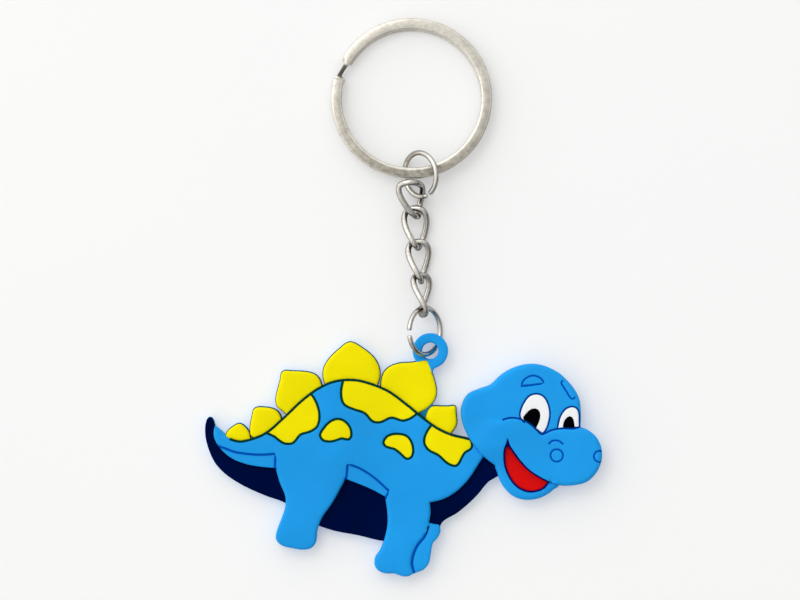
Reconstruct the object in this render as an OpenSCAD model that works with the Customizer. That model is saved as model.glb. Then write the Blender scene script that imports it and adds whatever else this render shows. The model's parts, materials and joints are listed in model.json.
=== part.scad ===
// Dinosaur charm keychain: a flat relief charm in moulded soft PVC, hung from a split ring
// by two open jump rings and four twisted chain links. It lies on its back, as on a table:
// +Y runs from the charm up to the split ring, +Z is the charm's face.
// The origin is the middle of the footprint, at table height.

/* [Split ring] */
// Outer diameter of the split ring
ring_od = 25; // [24:0.5:26]
// Width of the flat wire, measured along the ring's radius
ring_band = 1.7; // [1.4:0.1:1.9]
// Height of one turn of the flat wire
coil_h = 0.82; // [0.7:0.02:0.84]
// Air between the two turns
coil_gap = 0.06; // [0.04:0.01:0.1]
// How far the side nearest the charm is lifted by the jump ring under it
ring_lift = 1.4; // [1.4:0.1:1.8]

/* [Jump rings] */
// Middle radius of the top jump ring
top_jump_r = 3.4; // [3.3:0.05:3.5]
// Wire diameter of the top jump ring
top_jump_wire = 0.8; // [0.7:0.02:0.84]
// Middle radius of the lower jump ring
low_jump_r = 3.6; // [3.5:0.05:3.65]
// Wire diameter of the lower jump ring
low_jump_wire = 0.76; // [0.7:0.02:0.8]
// Angle left open between the two ends of a jump ring
jump_gap = 13; // [8:1:18]

/* [Chain links] */
// Length of a link at the middle of its wire
link_len = 6.2; // [6.1:0.02:6.3]
// Width of a link at the middle of its wire
link_w = 3.8; // [3.7:0.02:3.9]
// Wire diameter of a link
link_wire = 0.84; // [0.76:0.02:0.86]
// Twist of a link from its upper bend to its lower bend
link_twist = 88; // [80:1:92]

/* [Charm levels] */
// Top of the backing layer above the table
backing_top = 1.4; // [1.2:0.1:1.4]
// Top of the navy under-layer
navy_top = 2.0; // [1.8:0.1:2.1]
// Top of the torso and the near legs
torso_top = 3.0; // [2.8:0.1:3.2]
// Top of the back plates
plate_top = 2.8; // [2.75:0.05:3]
// Top of the head around the eyes
head_top = 3.6; // [3.4:0.1:3.8]
// Top of the muzzle
muzzle_top = 4.0; // [3.8:0.1:4.2]
// Top of the far front leg
foreleg_top = 2.7; // [2.3:0.1:2.8]
// Floor of the pockets that hold patches, eyes and outlines
pocket_floor = 2.2; // [2:0.1:2.4]

/* [Eyelet] */
// Radius of the hole for the lower jump ring
eyelet_hole_r = 1.45; // [1.4:0.01:1.5]
// Outer radius of the eyelet
eyelet_r = 2.75; // [2.5:0.05:2.8]
// Thickness of the eyelet
eyelet_t = 1.2; // [1:0.05:1.25]

/* [Hidden] */

blue = [0.14, 0.6, 0.92];
yellow = [0.94, 0.88, 0.02];
navy = [0.01, 0.05, 0.25];
dark_green = [0.05, 0.16, 0.12];
royal = [0.0, 0.28, 0.7];
nickel = [0.75, 0.72, 0.67];

// Places of the hardware: centres in mm, angles in degrees
ring_y = 30.8;
ring_x = 1.25;
// The upper turn's free end lies at the jog angle. The upper turn comes down to the lower one
// over the span just before it
jog_angle = 164;
jog_span = 12;
top_jump_at = [2.6, 19.0];
top_jump_yaw = 9;
top_jump_tilt = 45;
top_jump_open = -72;
low_jump_at = [3.3, -5.2];
low_jump_tilt = 48;
low_jump_open = 184;
eyelet_at = [4.16, -8.27];
eyelet_z = 1.5;
// The neck that joins the eyelet to the backing, and how far it stays off the hole
neck_clear = 0.6;
neck_pts = [[1.9, -9.7], [5.6, -10.35], [4.75, -11], [4.4, -12.4], [2.6, -12.4]];
// One row a link: centre x, y, z, then yaw, pitch, roll, then how far it is bent to one side
link_rows = [
    [1.3, 15.3, 2.93, 24.5, 34, -9, 0.39],
    [1.97, 10.75, 2.02, 5, 0, 1.5, 0],
    [2.45, 5.55, 2.15, 5, 0, 15, 0],
    [2.9, 0.39, 2.7, 4, -6.6, 35.5, 0]];

// Widths of the coloured lines let into the surface
outline_w = 0.34;
royal_w = 0.3;
leg_line_w = 0.22;
face_w = 0.26;
nostril_depth = 0.7;
// How far each piece lies below the relief around it
patch_sink = 0.05;
outline_sink = 0.15;
strip_sink = 0.2;
royal_sink = 0.25;
leg_line_sink = 0.1;
jaw_sink = 0.5;
mouth_sink = 0.8;
eye_sink = 0.1;
pupil_sink = 0.05;
face_sink = 0.2;
nostril_sink = 0.1;
// Reach of a cutter past the surface it opens
past = 1;
// How far the backing shows past the plates
backing_rim = 0.15;

// Each outline is a closed run of [x, y] points joined by a smooth curve.
// A third value of 1 makes the point a corner.
torso_pts = [
    [-29.2, -19.9, 1], [-28.3, -20.6], [-26.9, -21.9], [-25.4, -22.3], [-23.4, -21.9], [-21.3, -21],
    [-18.6, -18.7], [-15.5, -15.8], [-13, -14], [-10.6, -13], [-7.5, -12.8], [-5, -13.4],
    [-2.4, -14.5], [0.5, -16.6], [3.2, -18.8], [5.5, -20.4], [7.6, -21.3], [9.7, -21.8],
    [11, -22.2], [12.6, -24.3, 1], [11.5, -26], [10.1, -28.1], [8.1, -30.1], [6.2, -31.2],
    [4.1, -31.75, 1], [4.2, -33.2], [3.8, -35.4], [3.2, -36.9], [2.1, -38.3], [1.4, -39.9],
    [1.2, -41.3], [1.6, -42.7, 1], [0.8, -43.15], [-0.2, -43.15], [-1.4, -42.75], [-2.9, -42.7],
    [-4.2, -42], [-4.5, -40.7], [-3.6, -39.1], [-2.95, -37.4], [-2.5, -35.2], [-2.5, -33.4],
    [-2.85, -30.8, 1], [-5, -29.65], [-8.95, -28.05, 1], [-9.6, -29.3], [-11, -31.8], [-12.7, -34.3],
    [-13.4, -36.4], [-13.55, -37.9], [-14.3, -38.8], [-15.5, -39.05], [-17.3, -38.8], [-18.9, -38.35],
    [-19.75, -37.4], [-19.6, -36.1], [-18.9, -34.2], [-18.3, -32.3], [-18.3, -30.8], [-19.1, -28.8],
    [-19.8, -26.4, 1], [-22, -26.2], [-24.6, -25.7], [-26.7, -24.8], [-28.3, -23.4], [-29.2, -22],
    [-29.4, -20.9]];
navy_pts = [
    [-30.2, -18.55], [-30.6, -19.2], [-30.75, -21.3], [-30.2, -23.6], [-29.2, -25.7], [-27.6, -27.4],
    [-25, -29.1], [-21.5, -30.7], [-18.3, -31.9], [-15, -34.5], [-11.4, -36], [-7, -36.9],
    [-2.8, -37.8], [0, -37.6], [3, -36.7], [5.6, -35.7, 1], [6, -34.9], [8.5, -33.3],
    [11.3, -30.8], [13.3, -28.5], [14.8, -27.6], [16, -26], [14.5, -23.5], [11.5, -23.5],
    [8, -26.5], [4, -28.5], [-3, -28.5], [-9.5, -27], [-16, -25.5], [-21, -24.8],
    [-26, -23.4], [-28, -22.2], [-29.1, -20.2], [-29.4, -19.2], [-29.7, -18.65]];
strip_top = [
    [-30.5, -23.3], [-28.4, -23.1], [-26.2, -23.85], [-24, -24.2], [-21.8, -24.3],
    [-19.8, -24.15, 1], [-19.9, -27.5]];
crotch_line = [
    [-8.95, -28.4], [-8.65, -25.75, 1], [-6.9, -26.35], [-4.6, -27.8], [-2.2, -29.95, 1],
    [-2.85, -31.1]];
foreleg_pts = [
    [2.5, -35], [5.5, -35.2, 1], [5.75, -36], [5.3, -37.2], [4.6, -38], [4.25, -39.6],
    [3.9, -41.2], [3.1, -42.15], [1.5, -42.75, 1], [0, -40], [1, -37]];
plate_pts = [
    [[-27.5, -21.6], [-27.1, -20.6], [-26.2, -19.9], [-25.5, -19.6], [-24.7, -20], [-23.95, -21],
     [-23.7, -22.2, 1], [-25.5, -22.9]],
    [[-23.75, -20.5], [-23.65, -19.4], [-23.4, -18.2], [-23.2, -17.4], [-22.8, -17.1],
     [-21.8, -17.05], [-20.6, -17.2], [-19.8, -17.5], [-19.24, -18.1], [-18.9, -18.95, 1],
     [-19.6, -20.6], [-22.5, -22], [-23.6, -21.4]],
    [[-19.75, -15.7], [-19.42, -14.1], [-19.03, -12.6], [-18.9, -11.75], [-18.45, -11.4],
     [-17.3, -11.45], [-15.7, -11.5], [-14.4, -11.7], [-13.55, -12.1], [-13, -12.8],
     [-12.7, -13.7, 1], [-14, -15.6], [-17.8, -18.5, 1], [-18.6, -17.6], [-19.5, -16.9]],
    [[-8.4, -6.95], [-9.7, -7.8], [-11.4, -9.4], [-12.3, -10.9], [-12.4, -12.4], [-11.9, -13.9, 1],
     [-8, -13.9], [-4.2, -13.9, 1], [-3.75, -12.5], [-3.75, -11.1], [-4.5, -9.5], [-6.3, -7.9]],
    [[3.6, -9.68, 1], [1.4, -10.08], [-0.7, -10.25], [-2.1, -10.75], [-3, -11.6], [-3.38, -12.7],
     [-3.5, -14, 1], [-2, -15.9], [2.2, -17.9, 1], [3.2, -17.4], [4.45, -16.35], [5, -15.3],
     [5.08, -14.3], [4.7, -12.6], [4.2, -11.1]],
    [[4.35, -16.95], [5.7, -16.9], [7.1, -16.9], [8, -16.85], [8.1, -17.6], [8.2, -18.6],
     [8.25, -19.4], [7.9, -20.3], [7.2, -21.2, 1], [6.5, -21.9], [3.4, -18.9, 1], [3.65, -17.9]]];
// The backing shows in the gap between the last two plates
gap_pts = [[2.2, -17.4], [4.3, -16.5], [4.4, -17.1], [3.8, -18.4], [3.4, -19]];
// The patches at the back overrun the back line, which trims them
patch_pts = [
    [[-15, -14, 1], [-13.6, -16], [-13, -18.3], [-13.4, -20], [-14.5, -20.75], [-15.9, -21.2],
     [-17.2, -22.55], [-18.6, -22.5], [-20, -21.5], [-21.3, -20.9], [-22.6, -20, 1], [-18.5, -16, 1]],
    [[-9.1, -11.8, 1], [-9.65, -15], [-9.2, -16.5], [-7.8, -17.25], [-6, -17.9], [-4.7, -19.2],
     [-3.6, -19.3], [-1.9, -18.6], [0, -19.05], [1.4, -18.5], [3.2, -16.8, 1], [-2, -12.4, 1]],
    [[-12.9, -21.3], [-12.4, -20.3], [-11.2, -19.1], [-9.9, -18.8], [-8.6, -19.6], [-8.05, -21.1],
     [-8.4, -21.95], [-9.5, -21.8], [-10.8, -22.2], [-12.4, -22.1]],
    [[-3.1, -22.4], [-2.3, -21.35], [-0.8, -21.1], [0.6, -21.5], [1.45, -23.1], [1.2, -24.7],
     [0.5, -24.95], [-0.4, -24.2], [-1.4, -23.45], [-2.8, -23]],
    [[5.2, -18.8, 1], [3.6, -20.8], [3.2, -22.4], [3.8, -23.5], [5.4, -24.4], [7, -25.75],
     [8.2, -26], [8.9, -25], [9.5, -24], [10.5, -23.3], [10.5, -22.3], [9.6, -20.8, 1]]];
head_pts = [
    [10, -15], [9.15, -16.4], [8.9, -18], [9.3, -20], [10.3, -22], [12.1, -24.3],
    [14.3, -26.1], [17.5, -28.4], [21, -28.9], [24.3, -29.1], [26.5, -29], [28.4, -28.45],
    [30.1, -26.6], [30.7, -24.4], [30.1, -22], [28.7, -20.6], [27.38, -20.12, 1], [27.45, -18],
    [27.1, -15.4], [25.6, -13.1], [23.3, -11.2], [20.3, -10.3], [17.3, -10.8], [15, -12.1],
    [13.5, -13.5], [11.9, -14.1]];
cheek_line = [
    [15.3, -18.9], [16.3, -18.62], [17.6, -18.67], [18.95, -19.18], [20, -19.9], [20.9, -20.8],
    [21.4, -21.2, 1], [22, -20.9], [23, -20.45], [24.6, -20.2], [26.3, -20.25], [29, -19.3]];
jaw_pts = [
    [14.2, -25.6], [14.5, -27.1], [15, -28.5], [15.7, -29.6], [16.6, -30.5], [17.7, -31.1],
    [19.2, -31.35], [21.1, -31.05], [22.4, -30.4], [23.3, -29.7], [24.2, -28.9], [22, -27],
    [17, -24.5]];
// The mouth and the smile share the line of the upper lip
lip_line = [
    [16.1, -22.55, 1], [16.95, -23.8], [17.9, -25.1], [19.3, -26.6], [20.9, -27.7],
    [22.45, -28.5, 1]];
mouth_floor = [
    [21.8, -29.4], [20.9, -29.85], [19.6, -30.05], [18.3, -29.7], [17.2, -28.9], [16.3, -27.6],
    [15.7, -26], [15.55, -24.4], [15.65, -23.3]];
mouth_pts = concat(lip_line, mouth_floor);
smile_line = concat([[16.05, -21.9]], lip_line, [[24.4, -29.05]]);
near_eye_pts = [
    [18.05, -18.6], [18.1, -17.4], [18.65, -16.15], [19.5, -15.15], [20.7, -14.88], [21.6, -15.25],
    [22.3, -16.3], [22.62, -17.9], [22.4, -19.4], [21.9, -20.6], [21.4, -21.05, 1], [20.2, -20.1]];
near_pupil_pts = [
    [18.5, -18.5, 1], [19.05, -17.8], [19.65, -17.3], [20.3, -17.15], [20.85, -17.4], [21.12, -18.1],
    [21, -19], [20.6, -19.9], [20.2, -20.8, 1], [19, -19.9]];
far_eye_pts = [
    [23.8, -20.3, 1], [23.95, -19.2], [24.35, -18.1], [25.05, -17.2], [25.95, -16.85],
    [26.7, -17.05], [27.08, -17.7], [27.18, -18.8], [27.18, -20.02, 1]];
far_pupil_pts = [
    [24.6, -20.5, 1], [24.75, -19.3], [25.2, -18.6], [25.7, -18.35], [26.1, -18.6], [26.35, -19.3],
    [26.45, -20.5, 1]];
near_brow = [
    [18.2, -13.7, 1], [18.5, -12.9], [19.2, -12.3], [20, -12.07], [20.8, -12.25], [21.4, -12.7],
    [21.75, -13.3, 1]];
far_brow = [
    [24.65, -12.8], [24.38, -13.1], [24.65, -13.7], [25.3, -14.7], [25.75, -15.45], [26.15, -15.68],
    [26.5, -15.4]];
nostril_arc = [[22.4, -22.65], [22.8, -22.22], [23.45, -22.05], [24.1, -22.2], [24.65, -22.65]];
nostril_at = [23.65, -24.38];
nostril_r = 0.96;
far_nostril_at = [30.27, -24.53];
far_nostril_r = 0.88;

// --- curves ---
function unit(v) = v / max(norm(v), 0.000001);
function xy(p) = [p[0], p[1]];
function is_corner(p) = len(p) > 2 && p[2] == 1;
// Direction of the curve through point i, entering or leaving a corner straight
function heading(pts, i, j, closed) =
    let (n = len(pts), a = xy(pts[i]), b = xy(pts[j]), end = !closed && (i == 0 || i == n - 1))
    is_corner(pts[i]) || end ? unit(b - a) * (j == (i + 1) % n ? 1 : -1)
    : unit(unit(a - xy(pts[(i + n - 1) % n])) + unit(xy(pts[(i + 1) % n]) - a));
function bend(a, b, u, v, t) =
    let (s = norm(b - a))
    a * (2 * t ^ 3 - 3 * t ^ 2 + 1) + b * (3 * t ^ 2 - 2 * t ^ 3)
    + u * s * (t ^ 3 - 2 * t ^ 2 + t) + v * s * (t ^ 3 - t ^ 2);
// The smooth curve through a run of points, with a step about every step_mm
step_mm = 0.7;
function smooth(pts, closed = true) =
    let (n = len(pts), last = closed ? n - 1 : n - 2)
    concat([for (i = [0 : last])
        let (j = (i + 1) % n, a = xy(pts[i]), b = xy(pts[j]),
             k = max(2, round(norm(b - a) / step_mm)))
        for (m = [0 : k - 1]) bend(a, b, heading(pts, i, j, closed), heading(pts, j, i, closed), m / k)],
        closed ? [] : [xy(pts[n - 1])]);
// The same curve moved sideways by d, to its right
function beside(loop, d, closed = true) =
    let (n = len(loop))
    [for (i = [0 : n - 1])
        let (a = loop[closed ? (i + n - 1) % n : max(i - 1, 0)],
             b = loop[closed ? (i + 1) % n : min(i + 1, n - 1)], t = unit(b - a))
        loop[i] + d * [t[1], -t[0]]];
// 1 for an outline drawn anticlockwise, -1 for one drawn clockwise
function winding(pts) =
    let (n = len(pts))
    sign([for (i = [0 : n - 1]) cross(xy(pts[i]), xy(pts[(i + 1) % n]))] * [for (i = [1 : n]) 1]);
// A dot a little wider than the line rounds off each of its corners
dot_share = 1.1;
module dots(pts, w) for (p = pts) if (is_corner(p)) translate(xy(p)) circle(d = dot_share * w, $fn = 16);
module stroke(pts, w, closed = false) {
    line = smooth(pts, closed);
    left = beside(line, -w / 2, closed);
    right = beside(line, w / 2, closed);
    n = len(line);
    if (closed)
        polygon(concat(left, right), [[for (i = [0 : n - 1]) i], [for (i = [0 : n - 1]) n + i]]);
    else
        polygon(concat(left, [for (i = [n - 1 : -1 : 0]) right[i]]));
    dots(pts, w);
}
module shape(pts) polygon(smooth(pts));
module ring_shape(at, r, w) translate(at) difference() {
    circle(r = r + w / 2, $fn = 24);
    circle(r = r - w / 2, $fn = 24);
}
module slab(low, high) translate([0, 0, low]) linear_extrude(high - low) children();
// The room that the navy layer takes up under the pieces above it
module navy_room() slab(backing_top - past, navy_top) shape(navy_pts);

// --- shapes seen from above ---
module strip_shape() intersection() {
    shape(torso_pts);
    polygon(concat(smooth(strip_top, false), [[-24, -30], [-31, -28]]));
}
module crotch_shape() intersection() {
    shape(torso_pts);
    polygon(smooth(crotch_line, false));
}
module plate_shape(i) difference() {
    shape(plate_pts[i]);
    shape(torso_pts);
    back_line_shape();
    if (i > 0) shape(plate_pts[i - 1]);
}
module back_line_shape() stroke([for (i = [2 : 18]) torso_pts[i]], outline_w);
module body_outline_shape() {
    back_line_shape();
    intersection() {
        for (p = patch_pts) stroke(p, outline_w, true);
        shape(torso_pts);
    }
}
module patches_shape() for (p = patch_pts) shape(p);
module royal_strokes() {
    stroke(strip_top, royal_w);
    stroke(crotch_line, royal_w);
}
module royal_shape() intersection() {
    royal_strokes();
    shape(torso_pts);
}
module leg_line_shape() intersection() {
    stroke([for (i = [26 : 31]) torso_pts[i]], 2 * leg_line_w);
    difference() {
        shape(foreleg_pts);
        shape(torso_pts);
    }
}
// Everything between the line of the cheek and the line of the smile
module muzzle_side_shape() difference() {
    polygon(concat(smooth(cheek_line, false),
        [[34, -20], [34, -32], [16, -32], [8.5, -23.5], [13, -20.5]]));
    smile_side_shape();
}
module muzzle_shape() intersection() {
    shape(head_pts);
    muzzle_side_shape();
}
// Everything below the line of the smile
module smile_side_shape()
    polygon(concat(smooth(smile_line, false), [[24.4, -33], [12, -33], [12, -27], [14.6, -25]]));
module eyes_shape() {
    shape(near_eye_pts);
    shape(far_eye_pts);
}
module pupils_shape() {
    shape(near_pupil_pts);
    shape(far_pupil_pts);
}
// The outlines of the face as upright walls
module face_walls(low, high) {
    difference() {
        for (p = [near_eye_pts, far_eye_pts]) slab(low, high) stroke(p, face_w, true);
        slab(low - past, high + past) pupils_shape();
    }
    for (p = [mouth_pts, near_brow]) slab(low, high) stroke(p, face_w, true);
    for (p = [cheek_line, far_brow, [smile_line[0], smile_line[1]]]) slab(low, high) stroke(p, face_w);
}
module face_cutter() face_walls(backing_top, muzzle_top + past);
module nostril_shape() intersection() {
    union() {
        stroke(nostril_arc, face_w);
        ring_shape(nostril_at, nostril_r, face_w);
        ring_shape(far_nostril_at, far_nostril_r, face_w);
    }
    shape(head_pts);
}

// --- charm pieces ---
module backing_layer() color(blue) {
    for (p = [torso_pts, navy_pts, foreleg_pts, head_pts, jaw_pts]) slab(0, backing_top) shape(p);
    for (p = plate_pts) slab(0, backing_top) polygon(beside(smooth(p), backing_rim * winding(p)));
    for (p = [neck_pts, gap_pts]) slab(0, backing_top) polygon(p);
}
module at_eyelet(height) translate([eyelet_at[0], eyelet_at[1], height]) children();
module eyelet_hole()
    at_eyelet(eyelet_z - past) cylinder(r = eyelet_hole_r, h = eyelet_t + 2 * past, $fn = 48);
module hanging_eyelet() color(blue) difference() {
    union() {
        at_eyelet(eyelet_z) cylinder(r = eyelet_r, h = eyelet_t, $fn = 64);
        slab(backing_top, eyelet_z + eyelet_t) difference() {
            polygon(neck_pts);
            at_eyelet(0) circle(r = eyelet_hole_r + neck_clear, $fn = 32);
        }
    }
    eyelet_hole();
    slab(0, plate_top) shape(plate_pts[4]);
}
module navy_layer() color(navy) slab(backing_top, navy_top) difference() {
    shape(navy_pts);
    shape(head_pts);
    shape(jaw_pts);
}
module torso() color(blue) difference() {
    slab(backing_top, torso_top) difference() {
        shape(torso_pts);
        strip_shape();
        crotch_shape();
        shape(head_pts);
    }
    navy_room();
    slab(pocket_floor, torso_top + past) {
        patches_shape();
        body_outline_shape();
        royal_strokes();
    }
}
module strip(low, high) difference() {
    slab(low, high) difference() {
        children();
        royal_shape();
    }
    navy_room();
}
module tail_strip() color(blue) strip(backing_top, torso_top - strip_sink) strip_shape();
module crotch_strip() color(blue) strip(backing_top, torso_top - strip_sink) crotch_shape();
module far_foreleg() color(blue) difference() {
    slab(backing_top, foreleg_top) difference() {
        shape(foreleg_pts);
        shape(torso_pts);
        leg_line_shape();
    }
    navy_room();
}
module plate(i) color(yellow) slab(backing_top, plate_top) difference() {
    plate_shape(i);
    shape(head_pts);
}
module patch(i) color(yellow) slab(pocket_floor, torso_top - patch_sink) difference() {
    intersection() {
        shape(patch_pts[i]);
        shape(torso_pts);
    }
    body_outline_shape();
    shape(head_pts);
}
module patch_outline() color(dark_green) {
    slab(pocket_floor, torso_top - outline_sink) intersection() {
        difference() {
            body_outline_shape();
            shape(head_pts);
        }
        shape(torso_pts);
    }
    slab(backing_top, torso_top - outline_sink) difference() {
        back_line_shape();
        shape(torso_pts);
        shape(head_pts);
    }
}
module body_line() color(royal) {
    slab(backing_top, foreleg_top - leg_line_sink) difference() {
        leg_line_shape();
        shape(navy_pts);
    }
    difference() {
        intersection() {
            for (p = [strip_top, crotch_line]) slab(backing_top, torso_top - royal_sink) stroke(p, royal_w);
            slab(backing_top, torso_top) shape(torso_pts);
        }
        navy_room();
        slab(backing_top - past, pocket_floor) difference() {
            shape(torso_pts);
            strip_shape();
            crotch_shape();
        }
    }
}
module head() color(blue) difference() {
    slab(backing_top, head_top) shape(head_pts);
    slab(pocket_floor, head_top + past) {
        muzzle_side_shape();
        smile_side_shape();
        eyes_shape();
    }
    face_walls(pocket_floor, head_top + past);
}
module muzzle() color(blue) difference() {
    slab(pocket_floor, muzzle_top) muzzle_shape();
    face_cutter();
    slab(muzzle_top - nostril_depth, muzzle_top + past) nostril_shape();
}
module jaw() color(blue) {
    slab(backing_top, pocket_floor) difference() {
        shape(jaw_pts);
        shape(head_pts);
    }
    difference() {
        slab(pocket_floor, head_top - jaw_sink) difference() {
            intersection() {
                shape(jaw_pts);
                smile_side_shape();
            }
            shape(mouth_pts);
        }
        face_cutter();
    }
}
module mouth() color("firebrick") difference() {
    slab(pocket_floor, head_top - mouth_sink) shape(mouth_pts);
    face_cutter();
}
module eye(pts) color("white") difference() {
    slab(pocket_floor, head_top - eye_sink) difference() {
        shape(pts);
        muzzle_shape();
        pupils_shape();
    }
    face_cutter();
}
module pupil(pts, eye_pts) color([0.03, 0.03, 0.04]) difference() {
    slab(pocket_floor, head_top - pupil_sink) difference() {
        intersection() {
            shape(pts);
            shape(eye_pts);
        }
        muzzle_shape();
    }
    face_cutter();
}
module face_line() color(navy) intersection() {
    face_walls(pocket_floor, head_top - face_sink);
    union() {
        for (p = [head_pts, jaw_pts]) slab(backing_top, head_top) shape(p);
    }
}
module nostril_line() color(navy)
    slab(muzzle_top - nostril_depth, muzzle_top - nostril_sink) nostril_shape();

// --- split ring: one flat wire wound twice, with a jog from the upper turn to the lower ---
// Chamfer of the flat wire's corners, and the angle left open beside each free end
band_chamfer = 0.12;
end_gap = 1;
ring_tilt = -asin(ring_lift / ring_od);
ring_h = 2 * coil_h + coil_gap;
// Half the length of the jog, with enough more to run into the turns
jog_run = ring_od / 2 * sin(jog_span / 2) + 0.15;
module at_ring()
    translate([ring_x, ring_y, ring_od / 2 * sin(-ring_tilt)]) rotate([ring_tilt, 0, 0]) children();
module band_section() translate([ring_od / 2 - ring_band, 0]) let (c = band_chamfer) polygon([
    [c, 0], [ring_band - c, 0], [ring_band, c], [ring_band, coil_h - c],
    [ring_band - c, coil_h], [c, coil_h], [0, coil_h - c], [0, c]]);
module turn(from, span) rotate([0, 0, from]) rotate_extrude(angle = span, $fn = 96) band_section();
module jog() intersection() {
    difference() {
        cylinder(d = ring_od, h = ring_h, $fn = 96);
        translate([0, 0, -past]) cylinder(r = ring_od / 2 - ring_band, h = ring_h + 2 * past, $fn = 96);
    }
    rotate([90, 0, jog_angle - jog_span / 2 + 90]) linear_extrude(ring_od)
        polygon([[-jog_run, ring_h - coil_h], [jog_run, 0], [jog_run, coil_h], [-jog_run, ring_h]]);
}
module split_ring() color(nickel) at_ring() {
    turn_span = 360 - end_gap - jog_span;
    turn(jog_angle, turn_span);
    translate([0, 0, ring_h - coil_h]) turn(jog_angle + end_gap, turn_span);
    jog();
}

// --- jump rings ---
module open_ring(r, wire, opening) rotate([0, 0, opening + jump_gap / 2])
    rotate_extrude(angle = 360 - jump_gap, $fn = 72) translate([r, 0]) circle(d = wire, $fn = 24);
module top_jump_ring() color(nickel)
    translate([top_jump_at[0], top_jump_at[1], top_jump_r * sin(top_jump_tilt) + top_jump_wire / 2])
    rotate([0, 0, top_jump_yaw]) rotate([0, -top_jump_tilt, 0])
    open_ring(top_jump_r, top_jump_wire, top_jump_open);
module lower_jump_ring() color(nickel)
    translate([low_jump_at[0], low_jump_at[1], low_jump_r * sin(low_jump_tilt) + low_jump_wire / 2])
    rotate([0, low_jump_tilt, 0]) open_ring(low_jump_r, low_jump_wire, low_jump_open);

// --- twisted chain links ---
// Middle line of a link: a blunt oval, turned about its length from one end to the other
link_blunt = 0.76;
link_top_turn = -10;
link_steps = 44;
link_sides = 8;
function signed_pow(v, k) = sign(v) * abs(v) ^ k;
function link_point(t, bow) =
    let (v = signed_pow(sin(t), link_blunt), y = link_len / 2 * v,
         x = link_w / 2 * signed_pow(cos(t), link_blunt) + bow * (1 - v * v),
         turn = link_top_turn + link_twist * (1 - v) / 2)
    [x * cos(turn), y, -x * sin(turn)];
function link_ring(t, bow) =
    let (p = link_point(t, bow), along = unit(link_point(t + 1, bow) - link_point(t - 1, bow)),
         side = unit(cross(along, p)), out = cross(side, along))
    [for (k = [0 : link_sides - 1]) let (a = 360 * (k + 0.5) / link_sides)
        p + link_wire / 2 * (cos(a) * out + sin(a) * side)];
module chain_link(row) color(nickel) {
    points = [for (i = [0 : link_steps - 1]) each link_ring(360 * (i + 0.5) / link_steps, row[6])];
    n = len(points);
    faces = [for (i = [0 : link_steps - 1]) for (k = [0 : link_sides - 1])
        let (a = i * link_sides + k, b = i * link_sides + (k + 1) % link_sides)
        each [[a, b, (b + link_sides) % n], [a, (b + link_sides) % n, (a + link_sides) % n]]];
    translate([row[0], row[1], row[2]])
        rotate([0, 0, row[3]]) rotate([row[4], 0, 0]) rotate([0, row[5], 0])
        polyhedron(points, faces);
}

split_ring();
top_jump_ring();
chain_link(link_rows[0]);  // chain_link_1
chain_link(link_rows[1]);  // chain_link_2
chain_link(link_rows[2]);  // chain_link_3
chain_link(link_rows[3]);  // chain_link_4
lower_jump_ring();
backing_layer();
hanging_eyelet();
navy_layer();
torso();
tail_strip();
crotch_strip();
far_foreleg();
plate(0);  // plate_1
plate(1);  // plate_2
plate(2);  // plate_3
plate(3);  // plate_4
plate(4);  // plate_5
plate(5);  // plate_6
patch(0);  // patch_1
patch(1);  // patch_2
patch(2);  // patch_3
patch(3);  // patch_4
patch(4);  // patch_5
patch_outline();
body_line();
head();
muzzle();
jaw();
mouth();
eye(near_eye_pts);  // near_eye
eye(far_eye_pts);  // far_eye
pupil(near_pupil_pts, near_eye_pts);  // near_pupil
pupil(far_pupil_pts, far_eye_pts);  // far_pupil
face_line();
nostril_line();
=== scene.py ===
"""Looks of the dinosaur charm keychain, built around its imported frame.

Sizes are in millimetres until make_object() turns them into the frame's metres. Every soft PVC
piece takes its outline from its own CAD node, and gets rounded edges, a slight crown and walls.
"""

import json
import math

import bpy
import numpy as np
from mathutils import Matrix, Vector
from mathutils.geometry import delaunay_2d_cdt


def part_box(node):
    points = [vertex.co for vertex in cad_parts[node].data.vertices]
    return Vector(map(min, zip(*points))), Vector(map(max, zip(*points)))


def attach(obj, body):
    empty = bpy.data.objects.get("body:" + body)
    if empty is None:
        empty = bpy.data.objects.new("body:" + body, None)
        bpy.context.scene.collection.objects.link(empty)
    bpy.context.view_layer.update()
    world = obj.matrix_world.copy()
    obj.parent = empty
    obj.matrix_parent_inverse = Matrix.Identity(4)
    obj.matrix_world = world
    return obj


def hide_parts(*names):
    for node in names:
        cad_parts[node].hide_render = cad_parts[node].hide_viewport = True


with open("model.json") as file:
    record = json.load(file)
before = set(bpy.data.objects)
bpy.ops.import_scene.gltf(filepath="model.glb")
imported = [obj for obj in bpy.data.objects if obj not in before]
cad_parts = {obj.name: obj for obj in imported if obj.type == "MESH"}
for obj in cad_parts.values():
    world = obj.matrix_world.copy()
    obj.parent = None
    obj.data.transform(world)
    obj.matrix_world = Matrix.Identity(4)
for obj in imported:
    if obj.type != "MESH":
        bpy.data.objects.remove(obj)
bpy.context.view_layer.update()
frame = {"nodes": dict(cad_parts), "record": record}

MM = 0.001

# --- outlines ---
# A turn sharper than this is a corner, and stays one when an outline is smoothed
CORNER = math.radians(52)
# Length of the pieces of a smoothed outline, and of the shortest piece that counts in the CAD's
EDGE_STEP = 0.2
SHORTEST_EDGE = 0.03
# Points closer than this are one point
SNAP = 0.004
# A face counts as flat when its normal points at least this much straight up or down
FLAT_NORMAL = 0.9
LEVEL_SLACK = 0.01
# How many points are worked on at once, to save memory
BATCH = 2000


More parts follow.
